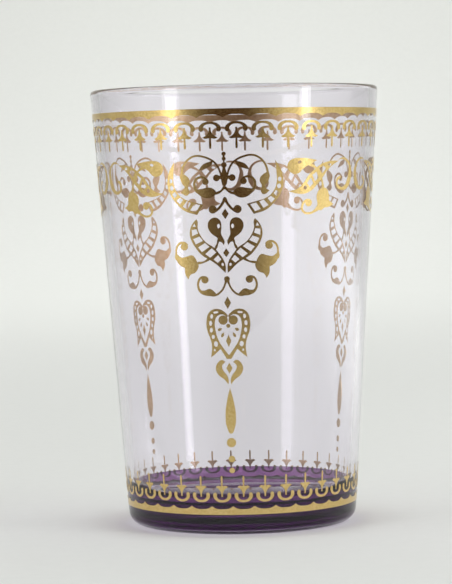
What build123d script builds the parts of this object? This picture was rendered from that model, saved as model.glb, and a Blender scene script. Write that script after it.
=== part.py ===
"""A moroccan tea glass: a clear tapered tumbler, an amethyst stain on its foot and a fired gold print.

Millimetres, +Z up. The origin is on the table, under the middle of the glass.
The gold is drawn flat in front of the glass and carried straight back on to the tapered wall,
where it lies as a thin film of narrow flat facets.
"""

from build123d import *

import os
from math import cos, degrees, hypot, pi, radians, sin

# Clear tumbler
glass_height = 90.0
rim_diameter = 59.6
foot_diameter = 47.0
wall_thickness = 1.7
lip_sides = 6
base_thickness = 5.8
heel_radius = 2.6
floor_radius = 4.0
punt_depth = 0.8
punt_diameter = 36.0

# Amethyst stain
stain_height = 8.0
stain_thickness = 0.1

# Gold print
gold_thickness = 0.1
border_count = 35
rim_border_drop = 4.8
rim_band_width = 1.8
foot_border_rise = 4.3
foot_band_width = 1.8
scallop_depth = 0.6
cusp_width = 0.5
crescent_clearance = 0.75
crescent_spacing = 0.8
crescent_rise = 1.9
crescent_thin = 0.2
crescent_thick = 0.45
finial_inset = 0.75
finial_length = 4.3
finial_flare = 1.4
finial_stem = 0.22

# Field of the three medallions, between the two borders
crown_gap = 0.15
pendant_gap = 0.85

# Size of the glass that the medallion and the sprays were drawn for
drawn_bottom = 12.8
drawn_top = 76.8
drawn_diameter = 53.3
dot_sides = 6
ladder_rail = 0.22

film_facets = 30

motif_count = 3
medallion_names = ("front", "right", "left")
spray_names = ("right", "back", "left")
spray_centre = 9.0

os.makedirs("parts", exist_ok=True)

# Sizes that follow from the ones above
taper = (rim_diameter - foot_diameter) / 2 / glass_height
middle_diameter = (rim_diameter + foot_diameter) / 2
rim_level = glass_height - rim_border_drop
foot_level = foot_border_rise
border_reach = crescent_clearance + crescent_rise - finial_inset + finial_length
field_top = rim_level - rim_band_width - border_reach - crown_gap
field_bottom = foot_level + foot_band_width + border_reach + pendant_gap
up = (field_top - field_bottom) / (drawn_top - drawn_bottom)
across = middle_diameter / drawn_diameter
drawing = Plane.XZ.offset(foot_diameter / 4)


def outer_radius(level):
    return foot_diameter / 2 + taper * level


def skin_section(low, high, thickness):
    """Slanted strip of a coat, from one level to another, on the outside of the wall."""
    Polygon(
        (outer_radius(low), low),
        (outer_radius(low) + thickness, low),
        (outer_radius(high) + thickness, high),
        (outer_radius(high), high),
    )


# Stain on the outside of the foot: it lies flush in the wall, so the gold runs over it on one cone
with BuildPart() as stain_sleeve:
    with BuildSketch(Plane.XZ):
        skin_section(heel_radius, stain_height, -stain_thickness)
    revolve(axis=Axis.Z)
stain_sleeve.part.label = "stain_sleeve"
export_step(stain_sleeve.part, "parts/stain_sleeve.step")

# Stain under the base: it lies on the roof of the shallow hollow, clear of the table
punt_radius = punt_diameter / 2
with BuildPart() as stain_disc:
    with BuildSketch(Plane.XY.offset(punt_depth)):
        Circle(punt_radius - punt_depth)
    extrude(amount=-stain_thickness)
stain_disc.part.label = "stain_disc"
export_step(stain_disc.part, "parts/stain_disc.step")

# Tumbler: one section turned about the axis, with a round lip, a round heel and a hollow underside
lip_radius = wall_thickness / 2
lip_level = glass_height - lip_radius
lip_centre = outer_radius(lip_level) - lip_radius
lip_turns = [radians(n * 180 / lip_sides) for n in range(lip_sides + 1)]
lip = [(lip_centre + lip_radius * cos(turn), lip_level + lip_radius * sin(turn)) for turn in lip_turns]
floor_corner = (outer_radius(base_thickness) - wall_thickness, base_thickness)
heel_corner = (outer_radius(0), 0)
with BuildPart() as glass_body:
    with BuildSketch(Plane.XZ) as half_section:
        Polygon(
            (0, punt_depth),
            (punt_radius - punt_depth, punt_depth),
            (punt_radius, 0),
            heel_corner,
            *lip,
            floor_corner,
            (0, base_thickness),
        )
        fillet(half_section.vertices().sort_by_distance(heel_corner)[0], heel_radius)
        fillet(half_section.vertices().sort_by_distance(floor_corner)[0], floor_radius)
    revolve(axis=Axis.Z)
    add(stain_sleeve.part, mode=Mode.SUBTRACT)
glass_body.part.label = "glass_body"
export_step(glass_body.part, "parts/glass_body.step")

# Gold film: a many-sided skin that touches the wall along the middle of each facet
def film(low, high, facets):
    """Skin of the wall from one level to another, with the middle of a facet at the front."""
    front = 270 - 180 / facets
    with BuildPart() as skin:
        for grow, mode in ((gold_thickness, Mode.ADD), (0, Mode.SUBTRACT)):
            for level in (low, high):
                with BuildSketch(Plane.XY.offset(level)):
                    RegularPolygon(outer_radius(level) + grow, facets, major_radius=False, rotation=front)
            loft(ruled=True, mode=mode)
    return skin.part


def gild(outlines, skin):
    """Carry flat outlines back on to the wall and keep what lies in the film."""
    with BuildPart() as gold:
        extrude(outlines.faces(), amount=rim_diameter / 2, dir=drawing.z_dir)
        add(skin, mode=Mode.INTERSECT)
    return gold.part


def turned(piece, angle):
    """The same piece, turned about the axis of the glass."""
    with BuildPart() as copy:
        with PolarLocations(0, 1, start_angle=angle):
            add(piece)
    return copy.part


def pen_sides(pen):
    """Left and right side of a pen stroke: a place of the pen is across, up and half the stroke's width."""
    left = []
    right = []
    last = len(pen) - 1
    for n, (x, y, half) in enumerate(pen):
        before = pen[max(n - 1, 0)]
        after = pen[min(n + 1, last)]
        along = (after[0] - before[0], after[1] - before[1])
        length = hypot(*along)
        side = (-along[1] / length * half, along[0] / length * half)
        left.append((x + side[0], y + side[1]))
        right.append((x - side[0], y - side[1]))
    return left, right


def stroke(pen):
    """Outline of a pen stroke, which comes to a point where the pen has no width."""
    left, right = pen_sides(pen)
    return left + [side for side, (x, y, half) in zip(right, pen) if half][::-1]


def at(x, y):
    """Place of a drawn point on this glass."""
    return (x * across, field_bottom + (y - drawn_bottom) * up)


def paint(*pen):
    Polygon(*[at(*point) for point in stroke(pen)])


def patch(*points):
    Polygon(*[at(*point) for point in points])


def between(start, end, share):
    return (start[0] + (end[0] - start[0]) * share, start[1] + (end[1] - start[1]) * share)


def ladder(*pen, cells):
    """Pen stroke with open cells between two rails. A cell is a span, counted along the places of the pen."""
    paint(*pen)
    left, right = pen_sides(pen)
    for start, end in cells:
        n = int(start)
        corners = []
        for place, rails in ((start, (ladder_rail, 1 - ladder_rail)), (end, (1 - ladder_rail, ladder_rail))):
            left_side = between(left[n], left[n + 1], place - n)
            right_side = between(right[n], right[n + 1], place - n)
            corners += [at(*between(left_side, right_side, rail)) for rail in rails]
        Polygon(*corners, mode=Mode.SUBTRACT)


def dot(x, y, radius):
    corners = [radians(n * 360 / dot_sides) for n in range(dot_sides)]
    patch(*[(x + radius * cos(corner), y + radius * sin(corner)) for corner in corners])


def lozenge(y, half_width, half_height):
    patch((0, y + half_height), (half_width, y), (0, y - half_height), (-half_width, y))


# Rim and foot borders: a scalloped band, a row of crescents and a row of finials.
# The foot border is the rim border upside down, and each of its units lies on a facet of its own.
half_pitch_angle = 180 / border_count
border_film = film(0, glass_height, border_count)
for place, level, way, band_width in (
    ("rim", rim_level, -1, rim_band_width),
    ("foot", foot_level, 1, foot_band_width),
):
    band_end = level + way * band_width
    pitch = 2 * pi * outer_radius(level) / border_count
    scallop_half = (pitch - cusp_width) / 2
    scallop_top = band_end - way * scallop_depth
    crescent_half = (pitch - crescent_spacing) / 2 - crescent_thick
    crescent_top = band_end + way * (crescent_clearance + crescent_thin)
    crescent_sweep = crescent_rise - crescent_thin
    finial_top = band_end + way * (crescent_clearance + crescent_rise - finial_inset)
    finial_arms = finial_top + way * finial_length / 2
    finial_end = finial_top + way * finial_length

    with BuildPart() as scallop:
        with BuildSketch(drawing):
            Polygon(
                (scallop_half, band_end),
                (scallop_half / 2, scallop_top),
                (-scallop_half / 2, scallop_top),
                (-scallop_half, band_end),
            )
        extrude(amount=rim_diameter / 2)
    with BuildPart() as band:
        add(turned(film(min(level, band_end), max(level, band_end), border_count), half_pitch_angle))
        with PolarLocations(0, border_count, start_angle=half_pitch_angle):
            add(scallop.part, mode=Mode.SUBTRACT)
    band.part.label = f"{place}_band"
    export_step(band.part, f"parts/{place}_band.step")

    with BuildSketch(drawing) as crescent_outline:
        pen = []
        for turn in (0, 60, 120, 180):
            swell = crescent_thick + (crescent_thin - crescent_thick) * sin(radians(turn))
            drop = crescent_sweep * (1 - sin(radians(turn)))
            pen.append((crescent_half * cos(radians(turn)), crescent_top + way * drop, swell))
        Polygon(*stroke(pen))
    crescent = gild(crescent_outline.sketch, border_film)
    with BuildPart() as crescents:
        with PolarLocations(0, border_count, start_angle=half_pitch_angle):
            add(crescent)
    crescents.part.label = f"{place}_crescents"
    export_step(crescents.part, f"parts/{place}_crescents.step")

    with BuildSketch(drawing) as finial_outline:
        Polygon(
            (0, finial_top),
            (finial_flare, finial_arms),
            (finial_stem, finial_arms),
            (finial_stem, finial_end),
            (-finial_stem, finial_end),
            (-finial_stem, finial_arms),
            (-finial_flare, finial_arms),
        )
    finial = gild(finial_outline.sketch, border_film)
    with BuildPart() as finials:
        with PolarLocations(0, border_count, start_angle=half_pitch_angle):
            add(finial)
    finials.part.label = f"{place}_finials"
    export_step(finials.part, f"parts/{place}_finials.step")

# Medallion: each island of gold is drawn on one side of the axis and mirrored
with BuildSketch(drawing) as crown:
    # scroll over the top, ending in a bud, and the leaf inside it
    paint(
        (0.3, 69.9, 0.2), (0.8, 72.6, 0.2), (2.4, 74.9, 0.2), (5.2, 75.75, 0.2), (7.6, 74.5, 0.2),
        (8.45, 72.0, 0.3), (7.8, 70.6, 0.75), (7.7, 69.3, 0.4), (8.0, 68.4, 0.6), (7.6, 67.8, 0),
    )
    patch((1.9, 74.6), (3.6, 74.4), (5.1, 72.75), (3.3, 73.3))
    # heart curve below, swelling into a leaf and ending in a ball
    paint(
        (0, 69.7, 0.2), (1.5, 68.3, 0.22), (2.7, 68.3, 0.8), (4.0, 68.4, 0.95), (5.4, 68.9, 0.5),
        (6.0, 70.2, 0.25), (5.2, 71.4, 0.22), (4.1, 71.4, 0.2),
    )
    dot(3.75, 70.75, 0.65)
    # beaded spindle on the axis and the balls beside it
    patch(
        (-0.1, 71.6), (0.9, 71.6), (1.5, 72.1), (2.2, 71.7), (2.2, 71.0), (1.5, 70.6), (0.9, 71.1), (-0.1, 71.1),
    )
    patch(
        (-0.1, 76.6), (0.45, 76.1), (0.15, 75.6), (0.42, 75.1), (0.15, 74.6), (0.57, 73.9), (0.3, 73.2),
        (0.5, 71.9), (0.3, 70.4), (-0.1, 69.3),
    )
    mirror(about=Plane.YZ)

with BuildSketch(drawing) as ladder_crescents:
    ladder(
        (10.0, 74.6, 0), (10.8, 71.6, 0.55), (10.4, 68.7, 0.7), (8.7, 66.6, 0.95), (4.95, 65.1, 1.2),
        cells=[(1.55, 1.88), (2.1, 2.45), (2.6, 2.92), (3.08, 3.36), (3.46, 3.68), (3.78, 3.93)],
    )
    mirror(about=Plane.YZ)

with BuildSketch(drawing) as bracket:
    patch((-0.1, 67.5), (0.1, 67.5), (0.85, 65.9), (1.9, 65.2), (1.9, 64.6), (0.6, 65.4), (-0.1, 66.5))
    dot(2.45, 65.1, 0.85)
    mirror(about=Plane.YZ)

with BuildSketch(drawing) as lozenges:
    lozenge(64.2, 0.7, 1.05)
    lozenge(56.5, 0.6, 0.9)
    lozenge(46.7, 0.66, 1.26)
    lozenge(39.1, 0.52, 1.26)
    lozenge(33.6, 0.62, 1.08)

with BuildSketch(drawing) as flowers:
    # teardrop and its tail
    paint((2.3, 63.2, 0.5), (2.15, 62.0, 1.35), (1.8, 60.5, 1.1), (1.1, 59.2, 0.5), (0.4, 58.0, 0))
    paint((1.2, 59.3, 0.18), (2.5, 56.9, 0.18))
    # ladder leaf
    ladder(
        (5.8, 63.2, 0), (6.25, 61.2, 0.8), (5.6, 59.0, 0.95), (4.0, 57.0, 1.0), (1.9, 55.1, 0.72),
        (0.25, 52.6, 0),
        cells=[(1.05, 1.48), (1.6, 1.95), (2.1, 2.48), (2.6, 2.95), (3.1, 3.45)],
    )
    # stem, tulip and its curl
    paint((3.3, 55.5, 0.18), (4.5, 54.75, 0.18), (5.9, 54.5, 0.18))
    patch(
        (5.65, 54.4), (6.9, 56.1), (8.6, 55.7), (10.0, 55.35), (9.45, 54.2), (8.4, 53.4), (7.75, 51.3),
        (7.1, 52.4), (5.8, 53.3),
    )
    paint((9.5, 55.1, 0.45), (10.1, 56.8, 0.22), (9.4, 58.4, 0.2), (8.4, 58.5, 0.2))
    dot(8.4, 57.85, 0.73)
    mirror(about=Plane.YZ)

with BuildSketch(drawing) as lower_scroll:
    paint(
        (0.1, 51.2, 0.2), (0.6, 49.8, 0.2), (2.2, 48.4, 0.3), (3.5, 48.65, 0.75), (4.8, 48.7, 0.4),
        (5.8, 49.9, 0.22), (5.4, 51.5, 0.22), (4.5, 51.7, 0.2),
    )
    dot(4.4, 51.2, 0.72)
    mirror(about=Plane.YZ)
    dot(0, 51.3, 0.57)

with BuildSketch(drawing) as palmette:
    # arm of the heart, its flared foot and the V that closes it
    paint(
        (0.35, 43.5, 0.2), (1.0, 44.55, 0.35), (2.6, 44.6, 0.75), (3.5, 43.2, 0.8), (3.4, 41.2, 0.85),
        (2.4, 37.9, 0.85),
    )
    patch((3.25, 38.3), (3.6, 35.8), (1.7, 37.4), (1.6, 38.2))
    patch((1.9, 38.6), (1.5, 37.3), (0.45, 35.45), (-0.1, 35.45), (-0.1, 36.1), (1.2, 38.3))
    dot(1.05, 43.25, 0.9)
    mirror(about=Plane.YZ)

with BuildSketch(drawing) as leaflets:
    paint((0.75, 34.75, 0), (1.6, 34.75, 0.35), (2.05, 33.5, 0.62), (1.3, 31.9, 0.5), (0.3, 30.4, 0))
    mirror(about=Plane.YZ)

with BuildSketch(drawing) as pendant:
    patch(
        (0, 29.7), (0.6, 27.0), (1.03, 24.2), (0.6, 21.4), (0, 20.4), (-0.6, 21.4), (-1.03, 24.2), (-0.6, 27.0),
    )
    dot(0, 18.6, 0.95)
    dot(0, 15.3, 0.66)
    dot(0, 13.1, 0.5)

motif_film = film(0, glass_height, film_facets)
medallion = {
    "crown": gild(crown.sketch, motif_film),
    "ladder_crescents": gild(ladder_crescents.sketch, motif_film),
    "bracket": gild(bracket.sketch, motif_film),
    "lozenges": gild(lozenges.sketch, motif_film),
    "flowers": gild(flowers.sketch, motif_film),
    "lower_scroll": gild(lower_scroll.sketch, motif_film),
    "palmette": gild(palmette.sketch, motif_film),
    "leaflets": gild(leaflets.sketch, motif_film),
    "pendant": gild(pendant.sketch, motif_film),
}
for number, side in enumerate(medallion_names):
    for island, piece in medallion.items():
        copy = turned(piece, number * 360 / motif_count)
        copy.label = f"medallion_{side}_{island}"
        export_step(copy, f"parts/medallion_{side}_{island}.step")


# Sprays between the medallions: one half is drawn with its own middle in front, beside the spray's axis
def beside(*pen):
    return [(x - spray_centre, *more) for x, *more in pen]


with BuildSketch(drawing) as branch:
    # plump bell leaf, ladder leaf and the stem that crosses it
    paint(*beside((10.6, 74.7, 0), (12.4, 74.4, 0.55), (14.8, 73.8, 1.2), (16.9, 73.4, 0.7)))
    ladder(
        *beside((16.9, 68.7, 0), (14.0, 69.0, 0.6), (11.8, 70.4, 1.1), (9.2, 72.6, 0.7), (5.4, 74.4, 0)),
        cells=[(1.3, 1.6), (1.72, 1.98), (2.1, 2.38), (2.5, 2.72)],
    )
    paint(*beside((12.6, 74.0, 0.2), (9.8, 72.4, 0.2), (8.8, 68.6, 0.2)))
    # tulip with its curl and its ball
    paint(*beside((8.8, 69.2, 0.5), (8.9, 67.4, 1.6), (8.7, 65.7, 2.0), (9.6, 64.8, 0.8)))
    paint(*beside((9.6, 65.0, 0.5), (11.6, 64.3, 0.25), (13.6, 64.7, 0.22), (13.4, 66.4, 0.2)))
    dot(12.6 - spray_centre, 66.3, 0.8)

with BuildSketch(drawing) as curl:
    paint(*beside(
        (4.7, 74.8, 0), (2.4, 74.8, 0.2), (1.0, 72.9, 0.4), (1.3, 70.8, 0.62), (2.8, 69.0, 0.36),
        (4.6, 69.1, 0.28), (5.3, 70.3, 0.25), (4.4, 71.4, 0.2),
    ))

half_spray_angle = degrees(spray_centre * across / outer_radius(field_top))
spray_halves = {
    "branch": gild(branch.sketch, motif_film),
    "curl": gild(curl.sketch, motif_film),
}
for number, side in enumerate(spray_names):
    axis_angle = (number + 0.5) * 360 / motif_count
    for island, piece in spray_halves.items():
        with BuildPart() as pair:
            add(turned(piece, half_spray_angle))
            mirror(about=Plane.YZ)
        copy = turned(pair.part, axis_angle)
        copy.label = f"spray_{side}_{island}"
        export_step(copy, f"parts/spray_{side}_{island}.step")
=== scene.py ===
from math import cos, hypot, pi, radians, sin

import bpy
from mathutils import Matrix, Vector


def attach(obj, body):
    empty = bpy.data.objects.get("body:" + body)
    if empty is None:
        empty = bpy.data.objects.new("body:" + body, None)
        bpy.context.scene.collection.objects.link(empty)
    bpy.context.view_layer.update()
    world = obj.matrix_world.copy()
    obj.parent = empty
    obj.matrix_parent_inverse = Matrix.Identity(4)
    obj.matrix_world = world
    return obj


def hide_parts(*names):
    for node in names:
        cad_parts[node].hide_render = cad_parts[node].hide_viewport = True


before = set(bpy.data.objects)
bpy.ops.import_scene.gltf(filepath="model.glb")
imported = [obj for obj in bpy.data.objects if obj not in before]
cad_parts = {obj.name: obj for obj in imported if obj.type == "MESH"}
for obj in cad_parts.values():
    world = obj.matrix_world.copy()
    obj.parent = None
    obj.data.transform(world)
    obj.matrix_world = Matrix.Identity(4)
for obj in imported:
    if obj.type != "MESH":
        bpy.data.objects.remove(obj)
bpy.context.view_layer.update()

# Clear tumbler
# One piece of pressed soda-lime glass: a straight taper with a fire-polished round lip, a thick base
# and a shallow hollow underneath, so that it stands on a narrow ring.
mm = 0.001
glass_height = 90.0 * mm
rim_radius = 29.8 * mm
foot_radius = 23.5 * mm
wall = 1.7 * mm
base_thickness = 5.8 * mm
heel_round = 2.6 * mm
floor_round = 4.0 * mm
punt_depth = 0.8 * mm
punt_radius = 18.0 * mm

# The lip is rounded by a hair less than half the wall, so that its two corners stay apart.
lip_share = 0.49
lip_round = lip_share * wall
past_round = 1.2
past_lip = 1.4
round_steps = 14
turn_steps = 256
smooth_angle = radians(40)
touching = 0.01 * mm
weld = 0.002 * mm


def outer_radius(level):
    """Radius of the outside of the wall at a level."""
    return foot_radius + (rim_radius - foot_radius) * level / glass_height


def deselect():
    """Leave edit mode and select nothing."""
    if bpy.context.object and bpy.context.object.mode != "OBJECT":
        bpy.ops.object.mode_set(mode="OBJECT")
    bpy.ops.object.select_all(action="DESELECT")


def work_on(piece):
    """Make a piece the only one selected."""
    deselect()
    piece.select_set(True)
    bpy.context.view_layer.objects.active = piece


def pick(piece, kind, test):
    """Select the vertices, edges or polygons of a piece that pass a test, and go on in edit mode."""
    bpy.ops.object.mode_set(mode="EDIT")
    bpy.ops.mesh.select_mode(type={"vertices": "VERT", "edges": "EDGE", "polygons": "FACE"}[kind])
    bpy.ops.mesh.select_all(action="DESELECT")
    bpy.ops.object.mode_set(mode="OBJECT")
    for part in getattr(piece.data, kind):
        part.select = test(part)
    bpy.ops.object.mode_set(mode="EDIT")


def close_up(merge):
    """Merge doubled points and turn the faces outwards."""
    bpy.ops.mesh.select_all(action="SELECT")
    bpy.ops.mesh.remove_doubles(threshold=merge)
    bpy.ops.mesh.normals_make_consistent(inside=False)


def finish_piece(piece, name, slot, *nodes):
    """Shade the piece that is worked on smooth, name it and put it in place of its CAD nodes."""
    bpy.ops.object.mode_set(mode="OBJECT")
    bpy.ops.object.shade_smooth_by_angle(angle=smooth_angle)
    piece.name = piece.data.name = name
    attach(piece, "root")
    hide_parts(*nodes)


def linear(colour):
    """Linear colour from an sRGB hex value."""
    parts = [int(colour[n:n + 2], 16) / 255 for n in (1, 3, 5)]
    return (*[p / 12.92 if p < 0.04045 else ((p + 0.055) / 1.055) ** 2.4 for p in parts], 1)


def add_node(tree, kind, links=(), **settings):
    """Add a node: settings are its own properties, links are values or sockets for its inputs."""
    made = tree.nodes.new(kind)
    for key, value in settings.items():
        setattr(made, key, value)
    for key, value in dict(links).items():
        if isinstance(value, bpy.types.NodeSocket):
            tree.links.new(value, made.inputs[key])
        else:
            made.inputs[key].default_value = value
    return made


def new_material(name):
    """New material, with its empty node tree."""
    made = bpy.data.materials.new(name)
    made.use_nodes = True
    made.node_tree.nodes.clear()
    return made, made.node_tree


# Half of the section is drawn as a flat face, its corners are rounded, and its edge is spun.
# A point a little beyond each rounding keeps the straight walls true when they are shaded smooth.
heel = (foot_radius, 0)
lip_outside = (rim_radius, glass_height)
lip_inside = (rim_radius - wall, glass_height)
floor_edge = (outer_radius(base_thickness) - wall, base_thickness)
heel_end = past_round * heel_round
lip_start = glass_height - past_lip * lip_round
floor_end = base_thickness + past_round * floor_round
section = [
    (0, punt_depth),
    (punt_radius - punt_depth, punt_depth),
    (punt_radius, 0),
    heel,
    (outer_radius(heel_end), heel_end),
    (outer_radius(lip_start), lip_start),
    lip_outside,
    lip_inside,
    (outer_radius(lip_start) - wall, lip_start),
    (outer_radius(floor_end) - wall, floor_end),
    floor_edge,
    (floor_edge[0] - past_round * floor_round, base_thickness),
    (0, base_thickness),
]
rounds = (
    (heel, heel_round),
    (lip_outside, lip_round),
    (lip_inside, lip_round),
    (floor_edge, floor_round),
)
deselect()
bpy.ops.mesh.primitive_plane_add(size=mm)
tumbler = bpy.context.object
bpy.ops.object.mode_set(mode="EDIT")
bpy.ops.mesh.merge(type="CENTER")
last = (0, 0)
for n, corner in enumerate(section):
    step = (corner[0] - last[0], 0, corner[1] - last[1])
    if n:
        bpy.ops.mesh.extrude_vertices_move(TRANSFORM_OT_translate={"value": step})
    else:
        bpy.ops.transform.translate(value=step)
    last = corner
bpy.ops.mesh.select_all(action="SELECT")
bpy.ops.mesh.edge_face_add()
for corner, radius in rounds:
    at = Vector((corner[0], 0, corner[1]))
    pick(tumbler, "vertices", lambda v: (v.co - at).length < touching)
    bpy.ops.mesh.bevel(offset=radius, offset_type="OFFSET", segments=round_steps, affect="VERTICES")
pick(tumbler, "polygons", lambda f: True)
bpy.ops.mesh.delete(type="ONLY_FACE")
pick(tumbler, "edges", lambda e: all(abs(tumbler.data.vertices[v].co.x) < touching for v in e.vertices))
bpy.ops.mesh.delete(type="EDGE")
bpy.ops.mesh.select_mode(type="VERT")
bpy.ops.mesh.select_all(action="SELECT")
bpy.ops.mesh.spin(steps=turn_steps, angle=2 * pi, center=(0, 0, 0), axis=(0, 0, 1))
close_up(weld)

# Soda-lime glass: pressed and fire polished, so smooth but for a slow ripple from the mould, and a little
# lavender in the thick of it. Lamps shine straight through it, which keeps its shadow pale.
ripple_length = 14.3 * mm
ripple_height = 0.2 * mm
clear_glass, tree = new_material("soda_lime_glass")
coords = add_node(tree, "ShaderNodeTexCoord")
ripple = add_node(tree, "ShaderNodeTexNoise", {
    "Vector": coords.outputs["Object"], "Scale": 1 / ripple_length, "Detail": 1})
bump = add_node(tree, "ShaderNodeBump", {
    "Height": ripple.outputs["Fac"], "Strength": 0.015, "Distance": ripple_height})
pressed = add_node(tree, "ShaderNodeBsdfPrincipled", {
    "Base Color": linear("#FCFAFE"),
    "Roughness": 0.0,
    "IOR": 1.5,
    "Transmission Weight": 1.0,
    "Normal": bump.outputs["Normal"],
})
tint = add_node(tree, "ShaderNodeVolumeAbsorption", {"Color": linear("#D2CCDC"), "Density": 45.0})
ray = add_node(tree, "ShaderNodeLightPath")
lit_through = add_node(tree, "ShaderNodeBsdfTransparent", {"Color": linear("#F4F2F6")})
surface = add_node(tree, "ShaderNodeMixShader", {
    "Fac": ray.outputs["Is Shadow Ray"], 1: pressed.outputs[0], 2: lit_through.outputs[0]})
add_node(tree, "ShaderNodeOutputMaterial", {"Surface": surface.outputs[0], "Volume": tint.outputs[0]})
tumbler.data.materials.append(clear_glass)

# Amethyst stain
# A transparent violet stain, fired into the outside of the foot and the roof of the hollow underneath.
# It stops in a sharp line round the wall, and the ring that the glass stands on stays clear.
stain_height = 8.5 * mm
clear_ring = 1.0 * mm
stain_sink = 0.03 * mm
stain_thickness = 0.06 * mm
cut_limit = 0.0001 * mm


def stain_on(low, high, test):
    """Thin coat just inside the glass, on the faces between two levels that pass a test."""
    work_on(tumbler)
    bpy.ops.object.duplicate(linked=False)
    piece = bpy.context.object
    bpy.ops.object.mode_set(mode="EDIT")
    for level, way in ((low, -1), (high, 1)):
        bpy.ops.mesh.select_all(action="SELECT")
        bpy.ops.mesh.bisect(
            plane_co=(0, 0, level), plane_no=(0, 0, way), clear_outer=True, threshold=cut_limit)
    pick(piece, "polygons", lambda f: not test(hypot(f.center.x, f.center.y), f.center.z))
    bpy.ops.mesh.delete(type="FACE")
    bpy.ops.mesh.select_all(action="SELECT")
    bpy.ops.transform.shrink_fatten(value=-stain_sink)
    bpy.ops.object.mode_set(mode="OBJECT")
    coat = piece.modifiers.new("coat", "SOLIDIFY")
    coat.thickness = stain_thickness
    coat.offset = -1
    bpy.ops.object.modifier_apply(modifier=coat.name)
    piece.data.materials.clear()
    return piece


def on_foot(radius, level):
    """True on the heel and on the outside of the wall."""
    return radius > punt_radius + wall and (level < heel_round or radius > outer_radius(level) - wall / 2)


def in_hollow(radius, level):
    """True on the roof of the hollow underneath."""
    return radius < punt_radius - punt_depth


stain_sleeve = stain_on(clear_ring, stain_height, on_foot)
stain_disc = stain_on(-mm, base_thickness / 2, in_hollow)

# Amethyst stain: colours what passes, in soft clouds where it took more or less, and lies inside the glass,
# so it bends no light of its own.
cloud_size = 2.5 * mm
amethyst, tree = new_material("amethyst_stain")
coords = add_node(tree, "ShaderNodeTexCoord")
cloud = add_node(tree, "ShaderNodeTexNoise", {
    "Vector": coords.outputs["Object"], "Scale": 1 / cloud_size, "Detail": 2})
shade = add_node(tree, "ShaderNodeValToRGB", {"Fac": cloud.outputs["Fac"]})
shade.color_ramp.elements[0].position = 0.3
shade.color_ramp.elements[0].color = linear("#844C8D")
shade.color_ramp.elements[1].position = 0.7
shade.color_ramp.elements[1].color = linear("#98599F")
stained = add_node(tree, "ShaderNodeBsdfPrincipled", {
    "Base Color": shade.outputs["Color"],
    "Roughness": 0.0,
    "IOR": 1.0,
    "Transmission Weight": 1.0,
})
ray = add_node(tree, "ShaderNodeLightPath")
lit_through = add_node(tree, "ShaderNodeBsdfTransparent", {"Color": linear("#B79BC0")})
surface = add_node(tree, "ShaderNodeMixShader", {
    "Fac": ray.outputs["Is Shadow Ray"], 1: stained.outputs[0], 2: lit_through.outputs[0]})
add_node(tree, "ShaderNodeOutputMaterial", {"Surface": surface.outputs[0]})
for piece, node in ((stain_sleeve, "stain_sleeve"), (stain_disc, "stain_disc")):
    piece.data.materials.append(amethyst)
    work_on(piece)
    finish_piece(piece, "amethyst_" + node, "amethyst_stain", node)

# Gold borders
# Bright gold paste, printed and fired on the outside of the wall, at the rim and, upside down, at the foot:
# a scalloped band, a row of crescents and a row of finials.
gold_sink = 0.01 * mm
gold_thickness = 0.05 * mm

# The artwork is drawn flat on an easel in front of the glass, in millimetres, cut in strips that can bend,
# and carried straight back on to the wall.
easel = 40.0
slab = 1
strip = 0.6
curve_steps = 5
dot_points = 8
flat_angle = radians(0.5)
drawn_weld = 1e-5
sheet_weld = 1e-4


def curved(points):
    """Closed outline through points, across and up in millimetres: a third value marks a sharp corner."""
    bpy.ops.curve.primitive_bezier_circle_add(radius=1, rotation=(pi / 2, 0, 0), location=(0, -easel, 0))
    line = bpy.context.object
    line.data.dimensions = "2D"
    line.data.fill_mode = "BOTH"
    line.data.resolution_u = curve_steps
    line.data.splines.clear()
    spline = line.data.splines.new("BEZIER")
    spline.bezier_points.add(len(points) - 1)
    spline.use_cyclic_u = True
    for knot, (x, y, *sharp) in zip(spline.bezier_points, points):
        knot.co = (x, y, 0)
        knot.handle_left_type = knot.handle_right_type = "VECTOR" if sharp else "AUTO"
    return line


def pen(*places):
    """Outline of a pen stroke through places: across, up and half its width. No width is a sharp end."""
    left = []
    right = []
    for n, (x, y, half) in enumerate(places):
        before = places[max(n - 1, 0)]
        after = places[min(n + 1, len(places) - 1)]
        along = Vector((after[0] - before[0], after[1] - before[1])).normalized()
        if half:
            left.append((x - along.y * half, y + along.x * half))
            right.append((x + along.y * half, y - along.x * half))
        else:
            left.append((x, y, 1))
        if half and n == 0:
            left.insert(0, (x - along.x * half, y - along.y * half))
        if half and n == len(places) - 1:
            left.append((x + along.x * half, y + along.y * half))
    return left + right[::-1]


def dot(x, y, radius):
    """Outline of a round bead."""
    turns = [2 * pi * n / dot_points for n in range(dot_points)]
    return [(x + radius * cos(turn), y + radius * sin(turn)) for turn in turns]


def lozenge(x, y, half_width, half_height):
    """Outline of an upright diamond."""
    return [
        (x, y + half_height, 1), (x + half_width, y, 1), (x, y - half_height, 1), (x - half_width, y, 1),
    ]


def both_sides(shapes):
    """Shapes and their mirror images across the axis."""
    return shapes + [[(-x, *more) for x, *more in shape[::-1]] for shape in shapes]


def flat(shapes, depth):
    """Filled outlines as one flat slab on the easel."""
    lines = [curved(shape) for shape in shapes]
    deselect()
    for line in lines:
        line.data.extrude = depth
        line.select_set(True)
    bpy.context.view_layer.objects.active = lines[0]
    bpy.ops.object.convert(target="MESH")
    bpy.ops.object.join()
    bpy.ops.object.transform_apply(location=True, rotation=True, scale=True)
    bpy.ops.object.mode_set(mode="EDIT")
    close_up(drawn_weld)
    bpy.ops.object.mode_set(mode="OBJECT")
    return bpy.context.object


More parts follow.
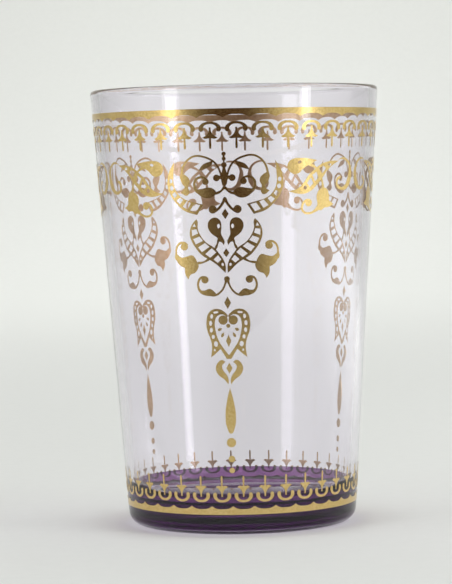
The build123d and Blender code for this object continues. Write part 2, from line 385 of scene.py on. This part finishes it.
def combine(piece, tool, operation):
    """Join a tool to a piece, or cut it out of the piece, and take the tool away."""
    work_on(piece)
    cut = piece.modifiers.new("cut", "BOOLEAN")
    cut.object = tool
    cut.operation = operation
    cut.solver = "EXACT"
    cut.use_self = operation == "UNION"
    bpy.ops.object.modifier_apply(modifier=cut.name)
    bpy.data.objects.remove(tool)


def draw(shapes, holes=()):
    """Front of a slab of the joined outlines, less the holes, cut in upright strips that can bend."""
    sheet = flat(shapes[:1], slab)
    if len(shapes) > 1:
        combine(sheet, flat(shapes[1:], slab), "UNION")
    if holes:
        combine(sheet, flat(list(holes), 2 * slab), "DIFFERENCE")
    work_on(sheet)
    pick(sheet, "polygons", lambda f: f.normal.y > -0.5)
    bpy.ops.mesh.delete(type="FACE")
    bpy.ops.mesh.select_all(action="SELECT")
    bpy.ops.mesh.remove_doubles(threshold=sheet_weld)
    bpy.ops.mesh.select_all(action="SELECT")
    bpy.ops.mesh.dissolve_limited(angle_limit=flat_angle)
    reach = max(abs(v.co.x) for v in sheet.data.vertices)
    for n in range(-int(reach / strip), int(reach / strip) + 1):
        bpy.ops.mesh.select_all(action="SELECT")
        bpy.ops.mesh.bisect(plane_co=(n * strip, 0, 0), plane_no=(1, 0, 0), threshold=drawn_weld)
    bpy.ops.object.mode_set(mode="OBJECT")
    sheet.scale = (mm, mm, mm)
    bpy.ops.object.transform_apply(scale=True)
    return sheet


def lay(sheet):
    """Carry a flat sheet straight back on to the wall."""
    work_on(sheet)
    wrap = sheet.modifiers.new("wrap", "SHRINKWRAP")
    wrap.target = tumbler
    wrap.wrap_method = "PROJECT"
    wrap.use_project_y = True
    wrap.use_positive_direction = True
    bpy.ops.object.modifier_apply(modifier=wrap.name)


def coat_gold(sheet):
    """Give a laid sheet its thickness: the underside is a second finish, seen through the glass."""
    work_on(sheet)
    coat = sheet.modifiers.new("coat", "SOLIDIFY")
    coat.thickness = gold_sink + gold_thickness
    coat.offset = 1 - 2 * gold_sink / coat.thickness
    coat.material_offset = 1
    sheet.data.materials.append(bright_gold)
    sheet.data.materials.append(gold_underside)
    bpy.ops.object.modifier_apply(modifier=coat.name)


# Fired gold: a thin metal film that mirrors the lamps and the dark of the room in soft patches, with the
# mottle and grain of the print paste, drawn coarser than the real ones so that they show.
mottle_size = 0.4 * mm
grain_size = 0.286 * mm
grain_height = 0.02 * mm
bright_gold, tree = new_material("fired_bright_gold")
coords = add_node(tree, "ShaderNodeTexCoord")
mottle = add_node(tree, "ShaderNodeTexNoise", {
    "Vector": coords.outputs["Object"], "Scale": 1 / mottle_size, "Detail": 2, "Roughness": 0.6})
shade = add_node(tree, "ShaderNodeValToRGB", {"Fac": mottle.outputs["Fac"]})
shade.color_ramp.elements[0].position = 0.3
shade.color_ramp.elements[0].color = linear("#CEAF6A")
shade.color_ramp.elements[1].position = 0.7
shade.color_ramp.elements[1].color = linear("#E8CD90")
dull = add_node(tree, "ShaderNodeMapRange", {
    "Value": mottle.outputs["Fac"], "To Min": 0.16, "To Max": 0.25})
grain = add_node(tree, "ShaderNodeTexNoise", {
    "Vector": coords.outputs["Object"], "Scale": 1 / grain_size, "Detail": 2})
bump = add_node(tree, "ShaderNodeBump", {
    "Height": grain.outputs["Fac"], "Strength": 0.25, "Distance": grain_height})
metal = add_node(tree, "ShaderNodeBsdfPrincipled", {
    "Base Color": shade.outputs["Color"],
    "Metallic": 1.0,
    "Roughness": dull.outputs["Result"],
    "Normal": bump.outputs["Normal"],
})
add_node(tree, "ShaderNodeOutputMaterial", {"Surface": metal.outputs[0]})

# Underside of the fired gold: the side that bonds with the glass is duller and browner, with wider patches,
# and shows through the glass on the far wall.
patch_size = 1.11 * mm
gold_underside, tree = new_material("fired_gold_underside")
coords = add_node(tree, "ShaderNodeTexCoord")
mottle = add_node(tree, "ShaderNodeTexNoise", {
    "Vector": coords.outputs["Object"], "Scale": 1 / patch_size, "Detail": 4})
dull = add_node(tree, "ShaderNodeMapRange", {
    "Value": mottle.outputs["Fac"], "To Min": 0.26, "To Max": 0.36})
shade = add_node(tree, "ShaderNodeValToRGB", {"Fac": mottle.outputs["Fac"]})
shade.color_ramp.elements[0].position = 0.3
shade.color_ramp.elements[0].color = linear("#BC9A6E")
shade.color_ramp.elements[1].position = 0.7
shade.color_ramp.elements[1].color = linear("#D0B28A")
metal = add_node(tree, "ShaderNodeBsdfPrincipled", {
    "Base Color": shade.outputs["Color"],
    "Metallic": 0.9,
    "Roughness": dull.outputs["Result"],
})
add_node(tree, "ShaderNodeOutputMaterial", {"Surface": metal.outputs[0]})

# One unit hangs from the top edge of its band: points are across, and down from that edge.
unit_count = 35
half_unit = pi / unit_count
band_drop = 1.75
scallop = 0.6
shoulder = 0.62
shoulder_rise = 0.75
crescent = [
    (0, 2.55), (1.0, 2.66), (1.85, 3.12), (2.24, 3.82), (2.05, 4.4), (1.65, 4.5), (1.32, 4.2),
    (1.36, 3.75), (1.1, 3.35), (0.55, 3.08), (0, 3.02),
]
crescent += [(-x, y) for x, y in crescent[-2:0:-1]]
finial = [
    (0.2, 3.66, 1), (0.2, 4.2), (0.42, 4.8), (0.95, 5.35), (1.55, 5.62, 1), (1.0, 5.9), (0.6, 5.86),
    (0.2, 5.8, 1), (0.2, 7.7), (0.12, 7.84),
]
finial += [(-x, *more) for x, *more in finial[::-1]]
rim_level = 85.2
foot_level = 4.3
for border, level, way in (("rim", rim_level, -1), ("foot", foot_level, 1)):
    narrow = outer_radius(level * mm) / outer_radius(rim_level * mm)
    top_edge = outer_radius(level * mm) / mm * sin(half_unit)
    cusp_edge = outer_radius((level + way * band_drop) * mm) / mm * sin(half_unit)
    shoulder_edge = shoulder * cusp_edge
    shoulder_drop = band_drop - shoulder_rise * scallop
    band = [
        (-top_edge, 0, 1), (top_edge, 0, 1), (cusp_edge, band_drop, 1), (shoulder_edge, shoulder_drop),
        (0, band_drop - scallop), (-shoulder_edge, shoulder_drop), (-cusp_edge, band_drop, 1),
    ]
    for kind, shape in (("band", band), ("crescents", crescent), ("finials", finial)):
        width = 1 if kind == "band" else narrow
        outline = [(x * width, level + way * y, *more) for x, y, *more in shape]
        row = draw([outline])
        lay(row)
        bpy.ops.object.mode_set(mode="EDIT")
        bpy.ops.mesh.select_all(action="SELECT")
        bpy.ops.mesh.spin(
            steps=unit_count - 1, dupli=True, angle=2 * half_unit * (unit_count - 1),
            center=(0, 0, 0), axis=(0, 0, 1))
        bpy.ops.mesh.select_all(action="SELECT")
        bpy.ops.mesh.remove_doubles(threshold=touching)
        bpy.ops.object.mode_set(mode="OBJECT")
        row.rotation_euler.z = half_unit
        bpy.ops.object.transform_apply(rotation=True)
        coat_gold(row)
        finish_piece(row, f"gold_{border}_{kind}", "fired_gold", f"{border}_{kind}")

# Gold medallions
# Three tall motifs in the same fired gold, each drawn on one side of its axis and mirrored:
# a scrolled crown over a heart of leaves, a palmette and a drop with three beads.

# Each island of gold has its outlines and its holes. Points are across from the axis, and up from the table.
islands = {}
crown = both_sides([
    pen((0.16, 70.2, 0.2), (0.73, 72.6, 0.2), (1.63, 74.4, 0.2), (2.6, 75.2, 0.2), (4.07, 75.8, 0.2),
        (5.5, 76.0, 0.2), (6.7, 75.6, 0.2), (7.9, 74.4, 0.2), (8.46, 72.8, 0.22), (8.5, 71.7, 0.25)),
    [(8.66, 72.4), (7.5, 72.06), (6.9, 71.0), (7.3, 69.87), (7.07, 68.9), (7.56, 68.2), (8.78, 68.9, 1),
     (7.97, 69.7), (8.54, 70.7)],
    [(2.1, 75.05, 1), (2.9, 74.8), (4.2, 74.26), (5.1, 73.04, 1), (4.07, 73.36), (2.6, 74.0)],
    pen((0, 69.87, 0.2), (0.65, 69.05, 0.2), (1.7, 68.5, 0.2)),
    [(1.5, 68.6, 1), (2.2, 68.0), (2.93, 67.67), (4.2, 67.75), (5.2, 68.4), (5.9, 69.3), (5.37, 69.4),
     (4.4, 69.54), (3.1, 69.74), (2.2, 69.46)],
    pen((5.3, 68.9, 0.3), (5.8, 69.5, 0.27), (6.0, 70.3, 0.25), (5.8, 71.15, 0.25), (4.95, 71.75, 0.25),
        (4.0, 71.65, 0.22), (3.5, 71.2, 0.2)),
    dot(3.75, 70.9, 0.65),
    pen((0, 71.7, 0.2), (1.5, 71.7, 0.2)),
    dot(1.55, 71.6, 0.67),
]) + [
    dot(0, 76.3, 0.42),
    dot(0, 75.35, 0.4),
    dot(0, 74.1, 0.55),
    pen((0, 76.3, 0.14), (0, 74.7, 0.16), (0, 73.5, 0.3), (0, 72.1, 0.55), (0, 70.9, 0.35), (0, 69.3, 0)),
]
islands["crown"] = (crown, ())
islands["ladder_crescents"] = (both_sides([
    [(10.0, 74.9, 1), (11.1, 72.9), (11.5, 70.7), (11.0, 68.55), (9.8, 66.8), (8.1, 65.2),
     (5.6, 64.35, 1), (4.3, 66.4, 1), (5.8, 66.8), (8.4, 67.7), (9.65, 69.0), (10.2, 70.6),
     (10.2, 72.3)],
]), both_sides([
    [(4.95, 66.3, 1), (6.1, 66.6, 1), (6.98, 65.3, 1), (5.84, 64.9, 1)],
    [(6.75, 66.8, 1), (7.6, 67.15, 1), (8.5, 66.05, 1), (7.5, 65.5, 1)],
    [(8.35, 67.4, 1), (9.0, 67.85, 1), (9.75, 67.25, 1), (9.05, 66.5, 1)],
    [(9.55, 68.35, 1), (10.0, 69.0, 1), (10.6, 68.5, 1), (10.1, 67.75, 1)],
    [(10.3, 69.5), (10.5, 70.2), (10.95, 70.0), (10.75, 69.3)],
    [(10.55, 70.8), (10.6, 71.5), (10.95, 71.5), (10.98, 70.8)],
]))
islands["bracket"] = (both_sides([
    pen((0, 67.6, 0.26), (0.35, 66.8, 0.27), (0.85, 66.05, 0.26), (1.55, 65.35, 0.26), (2.2, 65.05, 0.3)),
    dot(2.45, 65.4, 0.8),
]), ())
islands["lozenges"] = ([
    lozenge(0, 64.5, 0.7, 1.05), lozenge(0, 56.8, 0.62, 0.9), lozenge(0, 46.9, 0.68, 1.26),
    lozenge(0, 39.3, 0.53, 1.26), lozenge(0, 33.85, 0.63, 1.1),
], ())
islands["flowers"] = (both_sides([
    [(2.24, 63.8), (3.13, 63.33), (3.54, 62.43), (3.3, 61.3), (2.56, 60.4), (1.75, 59.8), (1.43, 59.1),
     (0.9, 58.9), (0.42, 58.3, 1), (0.26, 59.1), (0.54, 59.75), (0.9, 60.57), (0.82, 61.86),
     (0.94, 63.0), (1.43, 63.6)],
    pen((1.45, 59.5, 0.18), (1.7, 58.6, 0.18), (2.1, 57.7, 0.2)),
    [(5.8, 63.54, 1), (6.7, 62.5), (7.2, 60.86), (6.94, 59.4), (6.05, 57.8), (4.75, 56.3), (3.1, 55.3),
     (1.8, 54.35), (0.85, 53.4), (0.2, 52.8, 1), (0.2, 54.35), (0.68, 55.65), (1.5, 56.8), (2.3, 57.8),
     (3.93, 58.9), (5.07, 60.37), (5.56, 61.7), (5.56, 63.1)],
    pen((3.2, 55.8, 0.18), (4.5, 55.05, 0.18), (5.9, 54.8, 0.18)),
    [(8.0, 56.15), (6.86, 56.4), (6.13, 55.65), (5.85, 55.0), (5.6, 54.4), (5.75, 53.7), (6.37, 52.9),
     (7.25, 52.55), (7.76, 51.6, 1), (8.35, 52.7), (8.4, 53.87, 1), (9.46, 54.5), (10.1, 55.65),
     (10.25, 56.5), (9.85, 56.5), (9.1, 56.0)],
    pen((10.0, 55.7, 0.3), (10.1, 56.8, 0.2), (10.0, 57.8, 0.2), (9.46, 58.65, 0.22),
        (8.65, 58.9, 0.25), (7.9, 58.5, 0.25)),
    dot(8.4, 58.1, 0.73),
]), both_sides([
    [(1.28, 62.5), (1.5, 62.5), (1.5, 61.7), (1.28, 61.7)],
    [(6.2, 62.7, 1), (6.6, 62.05, 1), (5.95, 62.05, 1)],
    [(5.85, 61.55, 1), (6.8, 61.4, 1), (6.75, 60.2, 1), (5.55, 60.7, 1)],
    [(5.25, 60.1, 1), (6.55, 59.6, 1), (6.05, 58.55, 1), (4.6, 59.25, 1)],
    [(4.2, 58.8, 1), (5.6, 57.95, 1), (4.85, 57.0, 1), (3.3, 58.05, 1)],
    [(2.85, 57.75, 1), (4.2, 56.6, 1), (3.2, 55.9, 1), (2.0, 56.9, 1)],
    [(1.65, 56.35, 1), (2.55, 55.5, 1), (1.75, 54.85, 1), (1.0, 55.5, 1)],
    [(0.75, 54.8), (1.0, 54.5), (0.7, 54.2), (0.55, 54.5)],
]))
islands["lower_scroll"] = (both_sides([
    pen((0.15, 51.3, 0.2), (0.4, 50.6, 0.2), (0.75, 49.8, 0.2), (1.4, 49.0, 0.2), (2.2, 48.5, 0.22),
        (3.2, 48.4, 0.2)),
    [(2.1, 48.5, 1), (2.6, 49.15), (3.5, 49.7), (4.47, 49.4), (5.3, 49.3), (5.45, 49.05), (4.6, 48.45),
     (3.5, 48.26)],
    pen((4.9, 48.9, 0.25), (5.5, 49.4, 0.25), (5.8, 50.2, 0.22), (5.75, 51.0, 0.22), (5.35, 51.8, 0.22),
        (4.7, 52.05, 0.22), (4.1, 51.85, 0.2)),
    dot(4.4, 51.5, 0.72),
]) + [dot(0, 51.6, 0.57)], ())
islands["palmette"] = (both_sides([
    [(0.15, 44.0), (0.7, 45.1), (2.4, 45.7), (3.7, 45.1), (4.3, 43.5), (4.2, 41.35), (3.6, 39.66),
     (3.35, 38.2), (3.6, 36.0, 1), (2.85, 36.6), (1.65, 37.7, 1), (0.45, 35.7, 1), (-0.1, 35.7, 1),
     (-0.1, 36.3, 1), (1.3, 38.2), (1.9, 39.2), (2.5, 41.1), (2.65, 43.05), (2.25, 44.14), (1.3, 44.6),
     (0.5, 44.3)],
    dot(1.0, 43.46, 0.92),
    [(1.2, 41.8, 1), (1.85, 41.85), (2.1, 41.5), (1.75, 41.25)],
    [(0.85, 41.05, 1), (1.4, 40.6), (1.4, 40.05), (1.05, 40.15)],
]) + [dot(0, 42.3, 0.4)], both_sides([
    [(1.9, 45.05), (2.45, 45.2), (2.9, 44.95), (2.4, 44.8)],
    [(3.2, 44.65), (3.55, 44.2), (3.3, 43.75), (3.0, 44.2)],
    [(3.5, 43.35), (3.8, 42.9), (3.55, 42.35), (3.2, 42.9)],
    [(3.4, 41.95), (3.7, 41.5), (3.45, 41.0), (3.1, 41.45)],
    [(3.05, 40.55), (3.35, 40.1), (3.05, 39.7), (2.75, 40.1)],
    [(2.6, 39.25), (2.95, 38.7), (2.55, 38.15), (2.15, 38.7)],
    [(2.85, 37.75), (3.0, 37.5), (2.8, 37.25), (2.65, 37.5)],
]))
islands["leaflets"] = (both_sides([
    [(0.75, 35.1, 1), (1.45, 35.5), (2.4, 34.8), (2.7, 33.6), (2.1, 32.4), (1.0, 31.55), (0.3, 30.6, 1),
     (0.18, 31.2), (0.5, 32.4), (1.2, 33.36), (1.45, 34.3), (1.1, 34.8)],
]), ())
islands["pendant"] = ([
    [(0, 29.9, 1), (0.62, 27.5), (1.04, 24.2), (0.7, 21.7), (0, 20.7), (-0.7, 21.7), (-1.04, 24.2),
     (-0.62, 27.5)],
    dot(0, 18.9, 0.93), dot(0, 15.6, 0.65), dot(0, 13.3, 0.55),
], ())
motif_step = 2 * pi / 3
medallion_turns = (("front", 0), ("right", motif_step), ("left", 2 * motif_step))


def set_round(piece, name, turns):
    """Copy a finished piece round the axis, one copy for each named side."""
    for side, turn in turns:
        work_on(piece)
        bpy.ops.object.duplicate(linked=False)
        copy = bpy.context.object
        copy.rotation_euler.z = turn
        bpy.ops.object.transform_apply(rotation=True)
        finish_piece(copy, "gold_" + name.format(side), "fired_gold", name.format(side))
    bpy.data.objects.remove(piece)


for island, (shapes, holes) in islands.items():
    sheet = draw(shapes, holes)
    lay(sheet)
    coat_gold(sheet)
    set_round(sheet, "medallion_{}_" + island, medallion_turns)

# Gold sprays
# Between the medallions, in the same gold, a pair of branches with a bell leaf, a ladder leaf and a tulip,
# and a curl beside the axis. One half is drawn in front, turned to its place and mirrored.
spray_middle = 9.0
spray_level = 76.6
spray_turns = (("right", 0.5 * motif_step), ("back", 1.5 * motif_step), ("left", 2.5 * motif_step))


def beside(shapes):
    """Shapes with their middle moved on to the axis."""
    return [[(x - spray_middle, *more) for x, *more in shape] for shape in shapes]


branch = beside([
    [(10.6, 74.7, 1), (12.2, 75.0), (14.5, 75.2), (16.2, 75.0), (17.1, 74.2), (17.0, 72.9),
     (15.9, 72.1), (14.8, 72.2), (13.7, 73.2), (12.3, 73.9)],
    [(16.9, 68.7, 1), (15.3, 68.2), (13.6, 68.1), (11.7, 68.8), (10.2, 70.2), (9.0, 71.4), (8.0, 72.6),
     (6.5, 73.7), (4.8, 74.5, 1), (7.0, 74.5), (9.0, 74.1), (10.45, 73.4), (11.4, 72.7), (12.5, 71.8),
     (13.7, 70.2), (15.07, 69.1)],
    pen((12.6, 74.0, 0.2), (10.9, 73.2, 0.2), (9.9, 72.0, 0.2), (9.2, 70.4, 0.2), (8.9, 68.6, 0.2)),
    [(8.2, 69.1), (9.6, 69.0), (10.5, 67.8), (10.3, 66.2), (10.2, 65.2), (9.4, 64.7), (8.6, 65.2),
     (7.6, 65.3), (6.0, 65.9, 1), (7.2, 66.6), (7.4, 67.9)],
    pen((9.9, 65.4, 0.4), (11.0, 64.6, 0.25), (12.4, 64.2, 0.22), (13.6, 64.6, 0.22), (13.9, 65.5, 0.22),
        (13.4, 66.5, 0.22), (12.5, 66.9, 0.2)),
    dot(12.4, 66.3, 0.75),
])
branch_cells = beside([
    [(9.0, 73.6, 1), (10.1, 73.1, 1), (9.3, 72.0, 1), (8.3, 73.0, 1)],
    [(10.7, 72.4, 1), (11.7, 71.8, 1), (11.0, 70.5, 1), (10.2, 71.2, 1)],
    [(12.0, 71.3, 1), (12.9, 70.2, 1), (12.2, 69.4, 1), (11.4, 70.1, 1)],
    [(13.2, 69.7), (13.7, 69.3), (13.3, 68.9), (12.9, 69.2)],
    [(7.2, 74.0), (7.8, 73.8), (7.4, 73.5), (6.9, 73.8)],
    [(14.2, 74.5), (15.0, 74.5), (15.0, 74.2), (14.4, 74.2)],
])
curl = beside([
    pen((5.0, 74.7, 0.0), (3.6, 75.0, 0.2), (2.3, 74.6, 0.22), (1.3, 73.4, 0.3), (1.2, 71.8, 0.5),
        (1.6, 70.4, 0.55), (2.5, 69.3, 0.42), (3.8, 68.95, 0.3), (5.0, 69.5, 0.27), (5.2, 70.6, 0.25),
        (4.3, 71.3, 0.22)),
])
spray_turn = spray_middle * mm / outer_radius(spray_level * mm)
for island, shapes, cells in (("branch", branch, branch_cells), ("curl", curl, ())):
    half = draw(shapes, cells)
    lay(half)
    half.rotation_euler.z = spray_turn
    bpy.ops.object.transform_apply(rotation=True)
    other = half.modifiers.new("other half", "MIRROR")
    other.use_axis = (True, False, False)
    other.merge_threshold = touching
    bpy.ops.object.modifier_apply(modifier=other.name)
    coat_gold(half)
    set_round(half, "spray_{}_" + island, spray_turns)

# The tumbler is finished last, because the stain and the gold are made on it.
work_on(tumbler)
finish_piece(tumbler, "glass_tumbler", "clear_glass", "glass_body")

# Studio
# A sweep of white paper that curves up behind the glass, with soft lamps around it, in a pale room. The
# paper is lit a little more in the middle than at its sides, which the edges of the glass show as grey.
sweep_front = -0.22
sweep_back = 1.0
sweep_curve = 0.5
sweep_top = 1.8
sweep_width = 5.0
sweep_steps = 24
deselect()
bpy.ops.mesh.primitive_plane_add(size=1, location=(0, (sweep_front + sweep_back) / 2, 0))
sweep = bpy.context.object
sweep.scale = (sweep_width, sweep_back - sweep_front, 1)
bpy.ops.object.transform_apply(location=True, scale=True)
pick(sweep, "edges", lambda e: all(sweep.data.vertices[v].co.y > sweep_back - mm for v in e.vertices))
bpy.ops.mesh.spin(steps=sweep_steps, angle=-pi / 2, center=(0, sweep_back, sweep_curve), axis=(1, 0, 0))
bpy.ops.mesh.extrude_edges_move(TRANSFORM_OT_translate={"value": (0, 0, sweep_top - sweep_curve)})
bpy.ops.object.mode_set(mode="OBJECT")
bpy.ops.object.shade_smooth()

# Matt white paper: no gloss, and a faint mottle of fibres, drawn coarser than real ones so that it shows.
fibre_size = 3.33 * mm
paper, tree = new_material("matt_white_paper")
coords = add_node(tree, "ShaderNodeTexCoord")
fibre = add_node(tree, "ShaderNodeTexNoise", {
    "Vector": coords.outputs["Object"], "Scale": 1 / fibre_size, "Detail": 3})
shade = add_node(tree, "ShaderNodeValToRGB", {"Fac": fibre.outputs["Fac"]})
shade.color_ramp.elements[0].color = linear("#E4E6E2")
shade.color_ramp.elements[1].color = linear("#E8EAE6")
matt = add_node(tree, "ShaderNodeBsdfPrincipled", {
    "Base Color": shade.outputs["Color"],
    "Roughness": 0.9,
})
add_node(tree, "ShaderNodeOutputMaterial", {"Surface": matt.outputs[0]})
sweep.data.materials.append(paper)
sweep.name = "paper_sweep"


def lamp(name, place, aim, size, energy, spread=180):
    """Soft box: place, aim and size in metres, energy in watts, spread in degrees."""
    bpy.ops.object.light_add(type="AREA", location=place)
    made = bpy.context.object
    made.name = name
    made.data.shape = "RECTANGLE"
    made.data.size, made.data.size_y = size
    made.data.energy = energy
    made.data.spread = radians(spread)
    made.rotation_euler = (Vector(aim) - Vector(place)).to_track_quat("-Z", "Y").to_euler()
    made.visible_camera = False


# Two lamps overhead, one for the floor on the right, a strip on each side, which the gold and the glass
# mirror, a wide lamp for the back of the sweep and a narrow one for its middle, a hair off straight down.
lamp("lamp_top_left", (-0.55, -0.05, 0.5), (-0.45, -0.05, 0), (0.5, 0.5), 0.6)
lamp("lamp_top_right", (0.55, -0.05, 0.5), (0.45, -0.05, 0), (0.5, 0.5), 1.3)
lamp("lamp_floor_right", (0.48, 0.12, 0.5), (0.44, 0.12, 0), (0.4, 0.4), 0.8, 50)
lamp("lamp_left", (-0.45, -0.42, 0.25), (0, 0, 0.05), (0.16, 0.5), 0.6)
lamp("lamp_right", (0.588, -0.3, 0.25), (0, 0, 0.05), (0.1, 0.5), 0.7)
lamp("lamp_backdrop", (0, 0.5, 1.3), (0, 1.5, 0.2), (2.4, 0.5), 9)
lamp("lamp_middle", (-0.1, 1.1, 1.3), (-0.1, 1.101, 0), (0.3, 0.9), 0.42, 45)

# The room: pale walls, a grey ceiling and a dark, warm end in front of the glass, which the gold mirrors as
# brown. Where it is seen straight, or through the glass, it is as pale as the paper.
dark_end = -0.95
dark_start = -0.7
ceiling_start = 0.3
ceiling_end = 0.7
first_colour = 6
second_colour = 7
mixed_colour = 2
world = bpy.data.worlds.new("pale_room")
bpy.context.scene.world = world
world.use_nodes = True
tree = world.node_tree
tree.nodes.clear()
coords = add_node(tree, "ShaderNodeTexCoord")
toward = add_node(tree, "ShaderNodeSeparateXYZ", {"Vector": coords.outputs["Generated"]})
depth = add_node(tree, "ShaderNodeMapRange", {
    "Value": toward.outputs["Y"], "From Min": dark_end, "From Max": dark_start})
walls = add_node(tree, "ShaderNodeValToRGB", {"Fac": depth.outputs["Result"]})
walls.color_ramp.elements[0].color = linear("#4E3C36")
walls.color_ramp.elements[1].color = linear("#EDEEEA")
height = add_node(tree, "ShaderNodeMapRange", {
    "Value": toward.outputs["Z"], "From Min": ceiling_start, "From Max": ceiling_end})
mirrored = add_node(tree, "ShaderNodeMix", {
    "Factor": height.outputs["Result"],
    first_colour: walls.outputs["Color"],
    second_colour: linear("#A9A9AB"),
}, data_type="RGBA")
ray = add_node(tree, "ShaderNodeLightPath")
through = add_node(tree, "ShaderNodeMath", {
    0: ray.outputs["Is Transmission Ray"],
    1: ray.outputs["Glossy Depth"],
}, operation="SUBTRACT", use_clamp=True)
direct = add_node(tree, "ShaderNodeMath", {
    0: through.outputs[0],
    1: ray.outputs["Is Camera Ray"],
}, operation="ADD", use_clamp=True)
seen = add_node(tree, "ShaderNodeMix", {
    "Factor": direct.outputs[0],
    first_colour: mirrored.outputs[mixed_colour],
    second_colour: linear("#E9EBE8"),
}, data_type="RGBA")
room = add_node(tree, "ShaderNodeBackground", {"Color": seen.outputs[mixed_colour]})
add_node(tree, "ShaderNodeOutputWorld", {"Surface": room.outputs[0]})

# Camera
# At the photograph's distance and height, to the right of the front medallion, with a long lens. Light may
# pass the two walls and the base many times before it is lost.
camera_distance = 0.532
camera_height = 0.0725
camera_turn = radians(4.5)
camera_pitch = radians(-2.66)
camera_yaw = radians(0.27)
camera_roll = radians(-1.24)
camera_lens = 157.7
camera_near = 0.05
glass_bounces = 32
mirror_bounces = 16
bpy.ops.object.camera_add()
camera = bpy.context.object
camera.name = "camera"
camera.data.lens = camera_lens
camera.data.clip_start = camera_near
stand = Matrix.Rotation(camera_turn, 4, "Z") @ Matrix.Translation((0, -camera_distance, camera_height))
look = Matrix.Rotation(camera_yaw, 4, "Z") @ Matrix.Rotation(pi / 2 + camera_pitch, 4, "X")
camera.matrix_world = stand @ look @ Matrix.Rotation(camera_roll, 4, "Z")
bpy.context.scene.camera = camera
bpy.context.scene.view_settings.view_transform = "Standard"
bpy.context.scene.cycles.max_bounces = glass_bounces
bpy.context.scene.cycles.glossy_bounces = mirror_bounces
bpy.context.scene.cycles.transmission_bounces = glass_bounces
